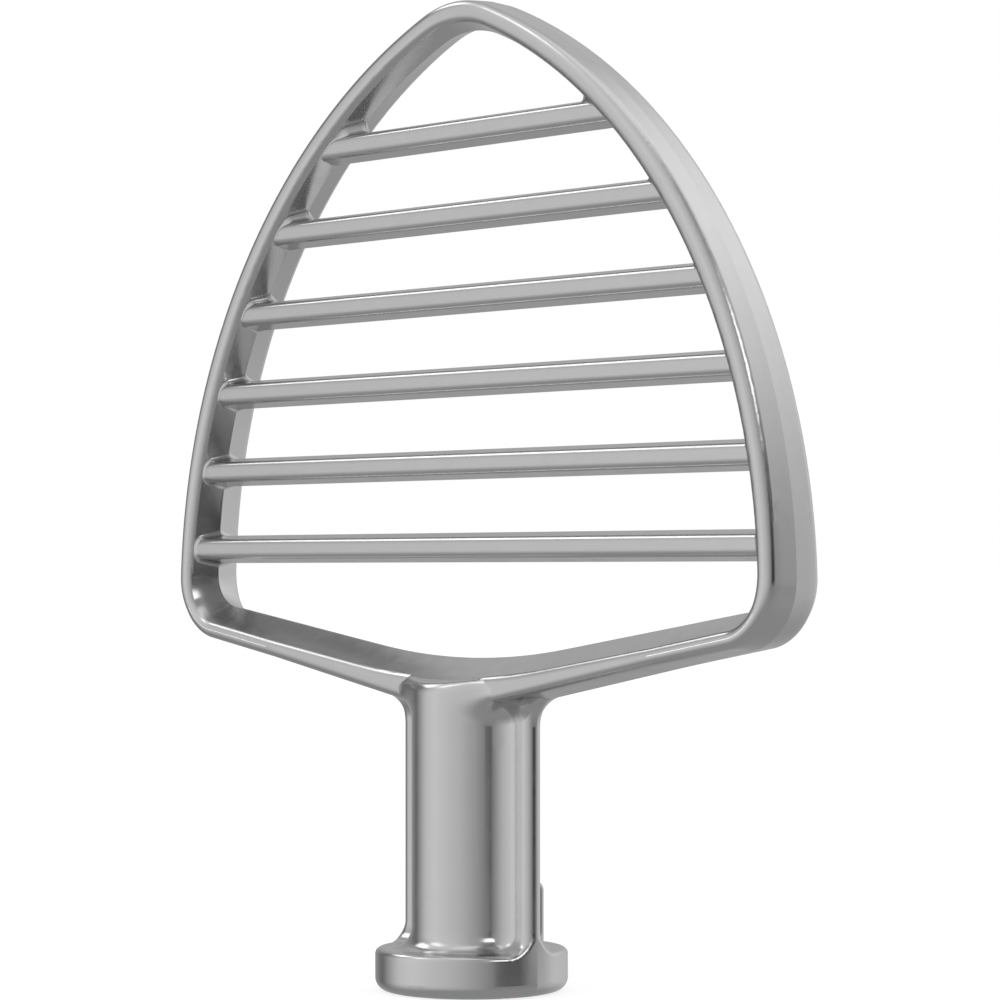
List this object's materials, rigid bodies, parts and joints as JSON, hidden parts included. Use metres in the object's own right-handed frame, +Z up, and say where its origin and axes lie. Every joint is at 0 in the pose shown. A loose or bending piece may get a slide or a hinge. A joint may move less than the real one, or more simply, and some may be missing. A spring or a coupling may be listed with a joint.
{
  "type": "pastry beater for a stand mixer",
  "caption": "Cast steel beater: a pointed-arch frame with straight cross rods, on a ribbed stem with a round bored collar.",
  "frame": {"origin": "middle of the collar's foot", "axes": "+Z up the stem to the frame's tip, X across the frame, Y from front to back"},
  "size_m": [0.1452, 0.0318, 0.1629],
  "materials": {
    "cast_steel": "fine satin polish over a smooth casting"
  },
  "bodies": {
    "root": {"pastry_beater": "cast_steel"}
  },
  "joints": []
}
